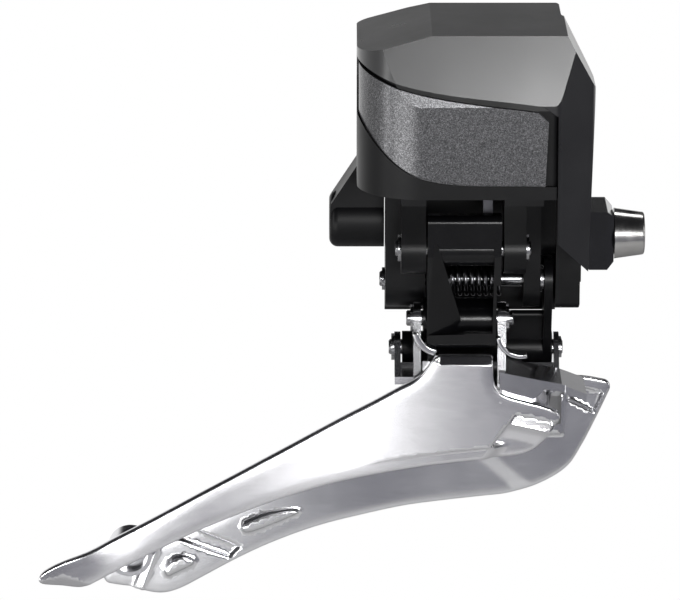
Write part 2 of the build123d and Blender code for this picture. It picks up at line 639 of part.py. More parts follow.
def gear_frame():
    """The bracket inside the housing whose two cheeks carry the gear shafts and the motor."""
    foot_y = ((OUTPUT_AXIS[0] - 8, 16.3), (OUTPUT_AXIS[0] - 2.6, 16.3), (OUTPUT_AXIS[0] + 5, 16.3))
    right = lobe((-7.9, -6.7), (OUTPUT_AXIS, 2.6), (IDLER_AXIS, 2.6), (MOTOR_AXIS, 1.9),
                 (foot_y[0], 0.98), (foot_y[2], 0.98))
    left = lobe((-14.2, -13.1), (OUTPUT_AXIS, 2.8), (IDLER_AXIS, 2.6), (MOTOR_AXIS, 2.6))
    left += lobe((-14.2, -13.1), (OUTPUT_AXIS, 2.8), (foot_y[0], 0.98), (foot_y[1], 0.98))
    body = right + left + block((-14.2, -6.7), (-20, -11.9), (15.3, 15.9))
    body -= rod_x(MOTOR_AXIS, 0.7 + RUNNING, -12, 0) + rod_x(MOTOR_AXIS, 0.85, -30, -12)
    for centre in (OUTPUT_AXIS, IDLER_AXIS):
        body -= rod_x(centre, SHAFT_R + RUNNING, -30, 0)
    return body


def drive_rod():
    """The rod from the output crank down to the outer link's arm."""
    shank = lobe(ROD_X, (ARM_END, 1.3), (CRANK_PIN, 1.3))
    rod = lobe(ROD_X, (ARM_END, 2.3)) + lobe(ROD_X, (CRANK_PIN, 2.3)) + shank
    return rod - rod_x(ARM_END, 1.0 + RUNNING, -30, 0) - rod_x(CRANK_PIN, 1.0 + RUNNING, -30, 0)


def circuit_board():
    """The control board that stands at the tail of the housing."""
    board = block((-38.6, -37.4), (-10.0, 2.6), (18.0, 37.0))
    board += block((-37.5, -35.6), (-8.0, -1.0), (21, 28))
    return board + block((-37.5, -36.2), (-7.0, 0.0), (30, 35))


def socket_insert():
    """The insulator at the bottom of the cable connector's socket."""
    body = rod_x((0, 3), INSERT_R, -40.3, -37.9)
    return body - rod_x((-1.2, 3), 0.45, -50, -30) - rod_x((1.2, 3), 0.45, -50, -30)


def socket_contacts():
    """The connector's two contacts, flush with the insulator."""
    return joined(rod_x((-1.2, 3), 0.45, -40.3, -37.9), rod_x((1.2, 3), 0.45, -40.3, -37.9))


NODES = (
    housing, top_cover, side_panel, cover_screws, mount_body, outer_top_pin, inner_top_pin, top_pin_clips,
    motor_can, gear_frame, circuit_board, socket_insert, socket_contacts, radius_washer, fixing_bolt,
    support_bolt, outer_link, arm_pin, inner_link, return_spring, outer_low_pin, inner_low_pin, low_pin_clips,
    outer_plate, inner_plate, guide_bridge, end_stop, stop_rivets, nose_screw, nose_spacer, nose_nut,
    tail_spacer, tail_screw, motor_pinion, idler_gear, output_gear, drive_rod,
)


def bushes():
    """The plain bushes in the barrels of both links."""
    save(bush_pair(OUTER_TOP, *LINK_X), "outer_top_bushes")
    save(bush_pair(OUTER_LOW, *LOW_BARREL), "outer_low_bushes")
    save(bush_pair(INNER_LOW, *BARREL_X), "inner_low_bushes")


for node in NODES:
    save(node(), node.__name__)
bushes()
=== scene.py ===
"""Electronic front derailleur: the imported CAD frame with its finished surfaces, floor, light and camera."""

import json
from math import cos, pi, radians, sin

import bmesh
import bpy
import numpy as np
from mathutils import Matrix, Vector
from mathutils.geometry import delaunay_2d_cdt


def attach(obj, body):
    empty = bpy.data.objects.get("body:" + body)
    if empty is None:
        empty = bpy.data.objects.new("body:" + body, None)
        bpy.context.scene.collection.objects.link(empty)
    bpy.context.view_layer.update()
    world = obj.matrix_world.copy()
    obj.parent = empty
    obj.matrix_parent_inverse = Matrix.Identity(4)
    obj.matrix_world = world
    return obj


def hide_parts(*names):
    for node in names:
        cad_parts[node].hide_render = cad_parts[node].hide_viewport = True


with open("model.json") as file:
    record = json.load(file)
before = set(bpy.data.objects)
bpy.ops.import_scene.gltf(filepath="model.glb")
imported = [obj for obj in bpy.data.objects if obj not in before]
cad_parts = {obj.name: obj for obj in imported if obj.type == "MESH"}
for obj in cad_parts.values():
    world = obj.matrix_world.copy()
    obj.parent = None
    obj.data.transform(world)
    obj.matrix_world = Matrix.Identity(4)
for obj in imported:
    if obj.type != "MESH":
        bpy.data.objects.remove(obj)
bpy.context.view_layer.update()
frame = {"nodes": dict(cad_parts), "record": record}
NODES = frame["nodes"]
MM = 0.001
MIX_A, MIX_B, MIX_RESULT = 6, 7, 2  # colour sockets of a Mix node


# --- materials ----------------------------------------------------------------------------------------------
def material(name, color, metallic=0.0, rough=0.4, coat=0.0, coat_rough=0.1, specular=0.5):
    """A shader with its plain values on its own sockets; returns (material, nodes, links, shader)."""
    mat = bpy.data.materials.new(name)
    mat.use_nodes = True
    nodes, links = mat.node_tree.nodes, mat.node_tree.links
    shader = nodes["Principled BSDF"]
    shader.inputs["Base Color"].default_value = (*color, 1)
    shader.inputs["Metallic"].default_value = metallic
    shader.inputs["Roughness"].default_value = rough
    shader.inputs["IOR"].default_value = 1.5
    shader.inputs["Specular IOR Level"].default_value = specular
    shader.inputs["Coat Weight"].default_value = coat
    shader.inputs["Coat Roughness"].default_value = coat_rough
    return mat, nodes, links, shader


def coords(nodes, links, scale=(1, 1, 1)):
    """Object coordinates, stretched."""
    tex = nodes.new("ShaderNodeTexCoord")
    mapping = nodes.new("ShaderNodeMapping")
    mapping.inputs["Scale"].default_value = scale
    links.new(tex.outputs["Object"], mapping.inputs["Vector"])
    return mapping.outputs["Vector"]


def noise(nodes, links, vector, scale, detail=3.0, rough=0.55):
    """Noise factor."""
    node = nodes.new("ShaderNodeTexNoise")
    node.inputs["Scale"].default_value = scale
    node.inputs["Detail"].default_value = detail
    node.inputs["Roughness"].default_value = rough
    links.new(vector, node.inputs["Vector"])
    return node.outputs["Fac"]


def remap(nodes, links, value, low, high, start=0.3, end=0.7):
    """value from start..end becomes low..high."""
    node = nodes.new("ShaderNodeMapRange")
    for key, number in (("From Min", start), ("From Max", end), ("To Min", low), ("To Max", high)):
        node.inputs[key].default_value = number
    links.new(value, node.inputs["Value"])
    return node.outputs["Result"]


def blend_color(nodes, links, factor, a, b):
    """Mix of two colours."""
    node = nodes.new("ShaderNodeMix")
    node.data_type = "RGBA"
    node.inputs[MIX_A].default_value = (*a, 1)
    node.inputs[MIX_B].default_value = (*b, 1)
    links.new(factor, node.inputs[0])
    return node.outputs[MIX_RESULT]


def bump(nodes, links, shader, height, strength, distance):
    """Surface relief from a height."""
    node = nodes.new("ShaderNodeBump")
    node.inputs["Strength"].default_value = strength
    node.inputs["Distance"].default_value = distance
    links.new(height, node.inputs["Height"])
    links.new(node.outputs["Normal"], shader.inputs["Normal"])
    return node


def plastic(name, color, rough, grain=900, relief=0.00002, coat=0.0, vary=0.35, gloss=0.5):
    """Moulded or lacquered surface: fine grain, faint cloudiness in colour and gloss."""
    mat, nodes, links, shader = material(name, color, 0, rough, coat=coat, coat_rough=0.18, specular=gloss)
    vector = coords(nodes, links)
    cloud = noise(nodes, links, vector, 90, 4)
    lighter = tuple(min(1, c * (1 + vary) + 0.002) for c in color)
    tint = blend_color(nodes, links, remap(nodes, links, cloud, 0, 1), color, lighter)
    links.new(tint, shader.inputs["Base Color"])
    links.new(remap(nodes, links, cloud, rough * 0.9, rough * 1.12), shader.inputs["Roughness"])
    fine = noise(nodes, links, vector, grain * 4, 2)
    bump(nodes, links, shader, fine, 0.25, relief)
    return mat


def metal(name, color, rough, stretch=(1, 1, 1), scale=900, relief=0.000012, streak=0.35, anis=0.0):
    """Machined or polished metal: fine streaks along one direction, with cloudy gloss."""
    mat, nodes, links, shader = material(name, color, 1.0, rough)
    shader.inputs["Anisotropic"].default_value = anis
    vector = coords(nodes, links, stretch)
    lines = noise(nodes, links, vector, scale, 4, 0.6)
    cloud = noise(nodes, links, coords(nodes, links), 60, 3)
    darker = tuple(c * (1 - 0.22 * streak) for c in color)
    tint = blend_color(nodes, links, remap(nodes, links, lines, 0, 1), darker, color)
    links.new(tint, shader.inputs["Base Color"])
    add = nodes.new("ShaderNodeMath")
    add.operation = "ADD"
    low, high = rough * (1 - streak * 0.5), rough * (1 + streak * 0.5)
    links.new(remap(nodes, links, lines, low, high), add.inputs[0])
    links.new(remap(nodes, links, cloud, -0.03, 0.04), add.inputs[1])
    links.new(add.outputs["Value"], shader.inputs["Roughness"])
    bump(nodes, links, shader, lines, 0.3, relief)
    return mat


def sparkle(name, dark, bright, rough):
    """Dark paint with fine metal flake."""
    mat, nodes, links, shader = material(name, dark, 0.8, rough, coat=0.2, coat_rough=0.2)
    vector = coords(nodes, links)
    flake = nodes.new("ShaderNodeTexVoronoi")
    flake.inputs["Scale"].default_value = 9000
    links.new(vector, flake.inputs["Vector"])
    split = nodes.new("ShaderNodeSeparateColor")
    links.new(flake.outputs["Color"], split.inputs["Color"])
    cloud = noise(nodes, links, vector, 2600, 3, 0.7)
    both = nodes.new("ShaderNodeMath")
    both.operation = "MULTIPLY"
    links.new(remap(nodes, links, split.outputs[0], 0.1, 1, 0.2, 1.0), both.inputs[0])
    links.new(remap(nodes, links, cloud, 0.2, 1, 0.3, 0.7), both.inputs[1])
    links.new(blend_color(nodes, links, both.outputs["Value"], dark, bright), shader.inputs["Base Color"])
    gloss = remap(nodes, links, split.outputs[1], rough * 0.85, rough * 1.2, 0, 1)
    links.new(gloss, shader.inputs["Roughness"])
    bump(nodes, links, shader, split.outputs[2], 0.2, 0.00001)
    return mat


MATS = {
    "case_black": plastic("case_black", (0.0015, 0.0015, 0.002), 0.4, gloss=0.2),
    "cover_black": plastic("cover_black", (0.009, 0.009, 0.010), 0.3, coat=0.3, vary=0.2),
    "panel_grey": sparkle("panel_grey", (0.03, 0.03, 0.032), (0.27, 0.27, 0.28), 0.32),
    "black_steel": metal("black_steel", (0.05, 0.05, 0.055), 0.4),
    "bracket_black": plastic("bracket_black", (0.002, 0.002, 0.0025), 0.34,
                             grain=600, relief=0.00003, gloss=0.22),
    "pin_steel": metal("pin_steel", (0.42, 0.42, 0.43), 0.2, (1, 0.2, 0.2), 1500),
    "motor_steel": metal("motor_steel", (0.5, 0.5, 0.52), 0.3),
    "frame_aluminium": metal("frame_aluminium", (0.6, 0.6, 0.62), 0.35),
    "board_green": plastic("board_green", (0.01, 0.08, 0.03), 0.4),
    "insulator": plastic("insulator", (0.01, 0.01, 0.012), 0.5),
    "contact_brass": metal("contact_brass", (0.8, 0.6, 0.25), 0.2),
    "washer_black": plastic("washer_black", (0.003, 0.003, 0.004), 0.14, coat=0.5),
    "bolt_steel": metal("bolt_steel", (0.6, 0.59, 0.58), 0.2, (1, 0.5, 0.5), 500, 0.000015, 0.5),
    "link_black": plastic("link_black", (0.0015, 0.0015, 0.002), 0.22, coat=0.15, gloss=0.25),
    "bush_bronze": metal("bush_bronze", (0.45, 0.32, 0.16), 0.35),
    "inner_link_black": plastic("inner_link_black", (0.002, 0.002, 0.0025), 0.36, gloss=0.22),
    "spring_steel": metal("spring_steel", (0.16, 0.16, 0.17), 0.22),
    "plate_silver": metal("plate_silver", (0.84, 0.835, 0.86), 0.2, (0.2, 1, 1), 1400, 0.000003, 0.12),
    "inner_plate_silver": metal("inner_plate_silver", (0.84, 0.84, 0.86), 0.19,
                                (0.2, 1, 1), 1400, 0.000003, 0.12),
    "bridge_steel": metal("bridge_steel", (0.7, 0.7, 0.72), 0.16, relief=0.000004, streak=0.15),
    "stop_black": plastic("stop_black", (0.0015, 0.0015, 0.002), 0.45, gloss=0.2),
    "gear_brass": metal("gear_brass", (0.65, 0.48, 0.2), 0.28),
    "gear_steel": metal("gear_steel", (0.42, 0.42, 0.44), 0.34),
    "rod_steel": metal("rod_steel", (0.04, 0.04, 0.045), 0.35),
}

SOFT_EDGES = {  # bevel widths in mm
    "top_cover": 0.5, "housing": 0.35, "side_panel": 0.12, "mount_body": 0.35, "outer_link": 0.3,
    "inner_link": 0.25, "guide_bridge": 0.25, "end_stop": 0.3, "radius_washer": 0.3,
    "fixing_bolt": 0.2, "nose_spacer": 0.15, "tail_spacer": 0.25, "support_bolt": 0.15,
}

for entry in frame["record"]["subparts"]:
    node = NODES[entry["node"]]
    node.data.materials.clear()
    node.data.materials.append(MATS[entry["material_slot"]])


def soft_edges(name, width, segments=3, angle=30):
    """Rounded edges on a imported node: a bevel in metres and smooth normals."""
    node = NODES[name]
    bevel = node.modifiers.new("soft edges", "BEVEL")
    bevel.width, bevel.segments, bevel.limit_method = width * MM, segments, "ANGLE"
    bevel.angle_limit, bevel.use_clamp_overlap, bevel.harden_normals = radians(angle), True, True
    node.data.polygons.foreach_set("use_smooth", [True] * len(node.data.polygons))


for soft_name, soft_width in SOFT_EDGES.items():
    soft_edges(soft_name, soft_width)


# --- formed sheet parts -------------------------------------------------------------------------------------
def smooth_line(points):
    """y(x): a natural cubic through the points, held flat beyond the ends."""
    xs, ys = np.array(points, float).T
    count, gaps = len(xs), np.diff(xs)
    matrix, right = np.eye(count), np.zeros(count)
    for i in range(1, count - 1):
        matrix[i, i - 1:i + 2] = gaps[i - 1], 2 * (gaps[i - 1] + gaps[i]), gaps[i]
        right[i] = 6 * ((ys[i + 1] - ys[i]) / gaps[i] - (ys[i] - ys[i - 1]) / gaps[i - 1])
    bend = np.linalg.solve(matrix, right)

    def value(x):
        x = np.clip(np.asarray(x, float), xs[0], xs[-1])
        i = np.clip(np.searchsorted(xs, x) - 1, 0, count - 2)
        a, b = (xs[i + 1] - x) / gaps[i], (x - xs[i]) / gaps[i]
        bent = ((a ** 3 - a) * bend[i] + (b ** 3 - b) * bend[i + 1]) * gaps[i] ** 2 / 6
        return a * ys[i] + b * ys[i + 1] + bent
    return value


def ease(t):
    """0 to 1 with soft ends."""
    t = np.clip(t, 0, 1)
    return t * t * (3 - 2 * t)


def span(points, step):
    """Evenly spaced points along a smooth curve through points, last one left out."""
    p = [2 * points[0] - points[1], *points, 2 * points[-1] - points[-2]]
    dense = []
    for a, b, c, d in zip(p, p[1:], p[2:], p[3:]):
        for t in np.linspace(0, 1, 12, endpoint=False):
            dense.append(0.5 * (2 * b + (c - a) * t + (2 * a - 5 * b + 4 * c - d) * t * t
                                + (3 * b - a - 3 * c + d) * t ** 3))
    dense = np.array([*dense, points[-1]])
    length = np.concatenate([[0], np.cumsum(np.hypot(*np.diff(dense, axis=0).T))])
    at = np.linspace(0, length[-1], max(2, round(length[-1] / step)) + 1)[:-1]
    return np.column_stack([np.interp(at, length, dense[:, k]) for k in (0, 1)])


def closed(points, step=0.5, soften=2):
    """A closed line, anticlockwise; a point with a third value is a corner, rounded a little by soften."""
    corner = [i for i, p in enumerate(points) if len(p) > 2] or [0]
    plain = [np.array(p[:2], float) for p in points]
    pieces = []
    for a, b in zip(corner, corner[1:] + [corner[0] + len(points)]):
        pieces.append(span([plain[i % len(points)] for i in range(a, b + 1)], step))
    line = np.vstack(pieces)
    for _ in range(soften):
        line = 0.25 * np.roll(line, 1, 0) + 0.5 * line + 0.25 * np.roll(line, -1, 0)
    x, z = line.T
    area = np.sum(x * np.roll(z, -1) - z * np.roll(x, -1))
    return line if area > 0 else line[::-1]


def inset(line, amount):
    """The closed line moved to its left, which is inwards for an anticlockwise one."""
    along = np.roll(line, -1, 0) - np.roll(line, 1, 0)
    along /= np.maximum(np.hypot(*along.T), 1e-9)[:, None]
    return line + amount * np.column_stack([-along[:, 1], along[:, 0]])


def inside(line, points):
    """Which points lie within the closed line."""
    x, z = points.T
    result = np.zeros(len(points), bool)
    for (xa, za), (xb, zb) in zip(line, np.roll(line, -1, 0)):
        if za != zb:
            result ^= ((za > z) != (zb > z)) & (x < (xb - xa) * (z - za) / (zb - za) + xa)
    return result


def gap_to(line, points):
    """Distance of each point from the closed line."""
    ends = np.roll(line, -1, 0)
    best = np.full(len(points), 1e9)
    for a, b in zip(line, ends):
        ab = b - a
        t = np.clip(((points - a) @ ab) / max(ab @ ab, 1e-12), 0, 1)
        best = np.minimum(best, np.hypot(*(points - a - t[:, None] * ab).T))
    return best


def depth_in(line, points):
    """Distance inside the closed line; negative outside."""
    return np.where(inside(line, points), 1, -1) * gap_to(line, points)


def below(a, b, points):
    """Distance to the right of the directed line a to b."""
    along = np.array(b, float) - np.array(a, float)
    along /= np.hypot(*along)
    rel = points - np.array(a, float)
    return rel[:, 0] * along[1] - rel[:, 1] * along[0]


def skin(rings):
    """Four-sided faces between each closed ring of vertex numbers and the next."""
    return [(a[k], a[(k + 1) % len(a)], b[(k + 1) % len(a)], b[k])
            for a, b in zip(rings, rings[1:]) for k in range(len(a))]


def mesh_object(name, verts, faces, mat, body, replaced):
    """A mesh piece in metres from millimetres, smooth, riding on its body."""
    data = bpy.data.meshes.new(name)
    data.from_pydata([tuple(c * MM for c in v) for v in verts], [], faces)
    bm = bmesh.new()
    bm.from_mesh(data)
    bmesh.ops.recalc_face_normals(bm, faces=bm.faces)
    bm.to_mesh(data)
    bm.free()
    data.polygons.foreach_set("use_smooth", [True] * len(data.polygons))
    data.materials.append(mat)
    obj = bpy.data.objects.new(name, data)
    bpy.context.collection.objects.link(obj)
    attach(obj, body)
    if replaced:
        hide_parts(replaced)
    return obj


def inner_marks(border, distances, marks, keep):
    """Lines for the mesh to follow: rings inside the border and the feature lines, cut back from the edge."""
    lines = [(inset(border, d), d * 0.95, True) for d in distances]
    lines += [(np.array(m, float), keep, is_closed) for m, is_closed in marks]
    runs = []
    for line, least, is_closed in lines:
        good = depth_in(border, line) > least
        run = []
        for point, ok in [*zip(line, good)] + ([(line[0], good[0])] if is_closed else []):
            if ok:
                run.append(point)
            elif run:
                runs.append(run)
                run = []
        if run:
            runs.append(run)
    return runs


def sheet(name, body, node, slot_name, border, face, thick, edge=0.4, holes=(), marks=(), grid=0.8):
    """A formed plate: face(points) is its outboard Y; its edges are rounded, its mesh follows the marks."""
    loops = [border] + [h[::-1] for h in holes]
    angles = [0, pi / 8, pi / 4, 3 * pi / 8, pi / 2]
    verts, faces, flat = [], [], []
    for line in loops:
        rings = []
        for side in (0, 1):
            for angle in (angles[::-1] if side == 0 else angles):
                at = inset(line, edge * (1 - cos(angle)))
                drop = edge * (1 - sin(angle))
                y = face(at) + (drop if side == 0 else thick - drop)
                rings.append(range(len(verts), len(verts) + len(at)))
                verts += [(x, yy, z) for (x, z), yy in zip(at, y)]
        faces += skin(rings)
        flat.append((rings[0], rings[-1]))
    points, edges, known = [], [], []
    for front, _ in flat:
        start = len(points)
        points += [(verts[i][0], verts[i][2]) for i in front]
        known += list(front)
        edges += [(start + i, start + (i + 1) % len(front)) for i in range(len(front))]
    rim = [np.array([(verts[i][0], verts[i][2]) for i in front]) for front, _ in flat]
    for run in inner_marks(border, (edge + 0.35, edge + 0.8, edge + 1.4), marks, edge + 0.15):
        start = len(points)
        points += [tuple(p) for p in run]
        edges += [(start + i, start + i + 1) for i in range(len(run) - 1)]
    fixed = np.array(points)
    low, high = border.min(0), border.max(0)
    xs, zs = np.arange(low[0], high[0], grid), np.arange(low[1], high[1], grid * 0.87)
    cells = np.array([(x + (j % 2) * grid / 2, z) for j, z in enumerate(zs) for x in xs])
    cells = cells[inside(rim[0], cells)]
    for hole in rim[1:]:
        cells = cells[~inside(hole, cells)]
    near = np.array([np.min(np.hypot(*(fixed - c).T)) for c in cells])
    points += [tuple(c) for c in cells[near > 0.45 * grid]]
    out, _, tris, origin, _, _ = delaunay_2d_cdt([Vector(p) for p in points], edges, [], 0, 1e-5)
    flat_points = np.array([(v.x, v.y) for v in out])
    height = face(flat_points)
    front_of, back_of = {}, {}
    back_known = [i for _, back in flat for i in back]
    for i, source in enumerate(origin):
        rim_ids = [s for s in source if s < len(known)]
        if rim_ids:
            front_of[i], back_of[i] = known[rim_ids[0]], back_known[rim_ids[0]]
        else:
            (x, z), y = flat_points[i], height[i]
            front_of[i], back_of[i] = len(verts), len(verts) + 1
            verts += [(x, y, z), (x, y + thick, z)]
    middles = np.array([flat_points[list(t)].mean(0) for t in tris])
    good = inside(rim[0], middles)
    for hole in rim[1:]:
        good &= ~inside(hole, middles)
    for tri, ok in zip(tris, good):
        if ok:
            faces.append(tuple(front_of[i] for i in tri))
            faces.append(tuple(back_of[i] for i in reversed(tri)))
    return mesh_object(name, verts, faces, MATS[slot_name], body, node)


def circle(x, z, radius, count=28):
    """A round hole's line, anticlockwise."""
    angles = [2 * pi * i / count for i in range(count)]
    return np.array([(x + radius * cos(a), z + radius * sin(a)) for a in angles])


def rings_of(line, distances):
    """Closed feature lines inside a line, for marks."""
    return [(inset(line, d), True) for d in distances]


# --- outer guide plate --------------------------------------------------------------------------------------
C = 1  # marks a corner point
outer_line = smooth_line(((-104.4, -21.2), (-98, -18.6), (-85, -17.8), (-60, -18.2), (-30, -20.2),
                          (-10, -20.6), (-2.0, -20.2)))
OUTER_BORDER = closed((
    (-26.6, -18.9, C), (-16.1, -18.9, C), (-16.0, -21.8), (-15.7, -24.4), (-14.9, -25.8), (-13.3, -26.8),
    (-9.9, -27.8), (-6.0, -28.9), (-3.9, -29.8), (-3.0, -30.9), (-3.2, -31.8), (-3.9, -33.2),
    (-5.4, -35.4), (-7.3, -37.4), (-9.2, -38.5), (-12.0, -39.2), (-19.3, -39.8), (-29.9, -41.2),
    (-43.3, -44.0), (-55.2, -47.7), (-66.0, -52.0), (-75.3, -56.2), (-82.2, -59.8), (-88.5, -63.2),
    (-94.3, -66.3), (-95.7, -66.8), (-97.5, -66.6), (-99.3, -66.2), (-102.6, -65.2), (-103.5, -64.3),
    (-103.1, -63.0), (-100.2, -61.6), (-94.2, -59.6), (-89.1, -56.8), (-81.8, -52.8), (-72.1, -47.3),
    (-64.4, -43.0), (-54.8, -37.5), (-45.2, -31.9), (-39.1, -28.5), (-34.2, -25.6), (-31.0, -23.8),
    (-29.0, -21.8), (-27.6, -19.6)), 0.55)
TONGUE_A, TONGUE_B = (-11.7, -30.2), (-3.5, -32.1)
SIDE_A, SIDE_B = (-16.5, -37.0), (-11.7, -30.2)
FOLD = ((-11.7, -36.9), (-15.7, -36.9), (-23.4, -37.7), (-29.9, -38.7), (-37.5, -40.1), (-46, -42.6))
TIP_FOLD = ((-106, -64.4), (-102.8, -64.2), (-98.9, -63.8), (-94.3, -65.5), (-90.5, -67.5))


def outer_face(points):
    """Outboard surface of the outer plate: crowned edges, recessed nose, folded lower band and tail facet."""
    x, z = points.T
    y = outer_line(x)
    rim = np.maximum(gap_to(OUTER_BORDER, points), 0)
    y = y + 0.12 * np.clip(1 - rim / 2.4, 0, 1) ** 2
    neck = ease((x + 26.6) / 0.5) * ease((-15.7 - x) / 0.9)
    y = y + neck * np.interp(z, (-20.65, -20.5, -18.8), (0, 0.05, 1.3))
    under, across = below(TONGUE_A, TONGUE_B, points), below(SIDE_A, SIDE_B, points)
    profile = np.interp(under, (0, 0.4, 2.4, 2.75, 3.8, 5.5, 9.0), (0, 1.35, 0.5, 0.72, 1.15, 1.42, 1.5))
    ramp = np.where(z > -36.9, 0.45, 3.0)
    fold_z = np.interp(x, [p[0] for p in FOLD][::-1], [p[1] for p in FOLD][::-1])
    band = 0.34 * ease((x + 42) / 24) * ease((fold_z - z) / 0.28)
    pocket = ease(under / 0.35) * ease(across / ramp)
    y = y + band * (1 - pocket) + profile * pocket
    tip_z = np.interp(x, [p[0] for p in TIP_FOLD], [p[1] for p in TIP_FOLD])
    return y + 0.62 * np.clip(tip_z - z, 0, 3) * ease((-93.0 - x) / 2)


def strip(points, offsets, step=0.5):
    """Open feature lines: a smooth curve and its parallels, for marks."""
    line = np.vstack([span([np.array(p, float) for p in points], step), points[-1]])
    along = np.gradient(line, axis=0)
    along /= np.hypot(*along.T)[:, None]
    side = np.column_stack([along[:, 1], -along[:, 0]])
    return [(line + side * d, False) for d in offsets]


def level_lines(points, offsets, step=0.45):
    """Open lines straight from point to point, moved in Z by each offset, for marks."""
    xs, zs = np.array(points, float).T
    at = np.arange(xs[0], xs[-1], step)
    return [(np.column_stack([at, np.interp(at, xs, zs) + d]), False) for d in offsets]


sheet("outer_plate_form", "guide", "outer_plate", "plate_silver", OUTER_BORDER, outer_face, 1.8, 0.4,
      grid=0.6, marks=strip((TONGUE_A, TONGUE_B), (0, 0.13, 0.27, 0.4, 2.32, 2.46, 2.6, 2.75, 3.3, 3.8))
      + strip((SIDE_A, SIDE_B), (0, 0.15, 0.3, 0.45))
      + level_lines(FOLD[:0:-1], (0, -0.09, -0.19, -0.28)) + level_lines(TIP_FOLD, (0,))
      + level_lines(((-27.4, -20.55), (-15.6, -20.55)), (-0.2, -0.08, 0.08, 0.2)))


# --- inner guide plate --------------------------------------------------------------------------------------
inner_line = smooth_line(((-94, -9.9), (-75, -10.3), (-50, -10.2), (-28, -9.0), (-8, -8.2), (8.5, -7.6)))
INNER_BORDER = closed((
    (-91.9, -66.4, C), (-91.1, -68.7, C), (-88.0, -69.2), (-85.3, -69.5), (-80.4, -70.4), (-76.5, -69.4),
    (-71.6, -66.7), (-66.3, -63.7), (-60.8, -60.9), (-54.9, -58.4), (-49.1, -56.4), (-43.3, -54.9),
    (-33.5, -52.8), (-25.7, -51.8), (-18.0, -51.0), (-12.1, -50.3), (-6.0, -48.2), (-1.0, -45.0),
    (1.8, -40.6), (3.6, -37.0), (5.2, -33.6), (7.4, -28.7, C), (6.8, -27.6, C), (-0.5, -26.7),
    (-12, -29.0), (-30, -34.0), (-52, -46.0), (-74, -57.4), (-90, -63.0, C)), 0.55)
BUMP = closed(((-79.0, -63.8), (-77.6, -62.6, C), (-75.6, -62.2, C), (-73.4, -63.2, C), (-73.6, -64.3, C),
               (-79.0, -67.1, C), (-79.8, -65.7, C)), 0.35)
PAD = closed(((-64.7, -56.9), (-62.7, -57.7), (-53.6, -54.0), (-53.5, -52.9), (-56.0, -52.9), (-60.4, -53.9),
              (-64.1, -55.6)), 0.35)
GROOVE = closed(((-75.6, -56.0, C), (-64.3, -60.6, C), (-66.6, -63.3, C), (-79.4, -58.6, C)), 0.35)
WINDOW = closed(((-0.1, -28.2, C), (6.0, -29.9, C), (4.2, -34.2, C), (-1.2, -31.5, C)), 0.35)
COLUMN = closed(((-4.7, -30.5, C), (-1.7, -30.5, C), (-1.9, -38.6, C), (-5.6, -38.6, C)), 0.35)

STEP = ((-82.5, -62.0), (-85.6, -70.5))  # where the tail steps inwards
CREASE = ((-81.3, -62.0), (-84.4, -70.5))  # the raised line beside it


def inner_face(points):
    """Outboard surface of the inner plate: pressed bump, pad and groove, stepped tail, recessed nose."""
    x, z = points.T
    y = inner_line(x)
    y = y + 0.12 * np.clip(1 - gap_to(INNER_BORDER, points) / 2.2, 0, 1) ** 2
    y = y - 0.75 * ease(depth_in(BUMP, points) / 0.55) - 0.75 * ease(depth_in(PAD, points) / 0.5)
    y = y + 0.8 * ease(depth_in(GROOVE, points) / 0.7)
    y = y + 1.0 * ease(below(*STEP, points) / 0.8)
    y = y - 0.5 * ease(1 - abs(below(*CREASE, points)) / 0.5)
    y = y + np.interp(z, (-34.5, -28.0), (0.8, 1.2)) * ease(depth_in(WINDOW, points) / 0.45)
    y = y - 0.8 * ease(depth_in(COLUMN, points) / 0.9)
    return y + 0.10 * np.clip(below((-16.5, -41.0), (-8.0, -48.5), points), 0, 3)


sheet("inner_plate_form", "guide", "inner_plate", "inner_plate_silver", INNER_BORDER, inner_face, 1.5, 0.35,
      holes=[circle(-8.6, -32.6, 1.3), circle(-86.0, -60.4, 1.1)],
      marks=rings_of(BUMP, (0, 0.2, 0.38, 0.55)) + rings_of(PAD, (0, 0.17, 0.34, 0.5))
      + rings_of(GROOVE, (0, 0.25, 0.48, 0.7)) + rings_of(WINDOW, (0, 0.15, 0.3, 0.45))
      + rings_of(COLUMN, (0, 0.3, 0.6, 0.9))
      + strip(STEP, (0, 0.2, 0.5, 0.8)) + strip(CREASE, (-0.45, 0, 0.45)))


# --- small formed details -----------------------------------------------------------------------------------
OFF_AXIS = Vector((0.13, 0.31, 0.94))  # parallel to no bar here


def tube_along(name, points, radii, body, slot_name, sides):
    """A round bar through points (mm), with a radius at each."""
    rings, verts = [], []
    path = [Vector(p) for p in points]
    for i, centre in enumerate(path):
        along = (path[min(i + 1, len(path) - 1)] - path[max(i - 1, 0)]).normalized()
        side = along.cross(OFF_AXIS).normalized()
        up = side.cross(along)
        start = len(verts)
        for k in range(sides):
            a = 2 * pi * k / sides
            verts.append(tuple(centre + (side * cos(a) + up * sin(a)) * radii[i]))
        rings.append(range(start, start + sides))
    faces = skin(rings) + [tuple(rings[0]), tuple(reversed(rings[-1]))]
    return mesh_object(name, verts, faces, MATS[slot_name], body, None)


ARC_SIDES, ARC_STEPS = 16, 18


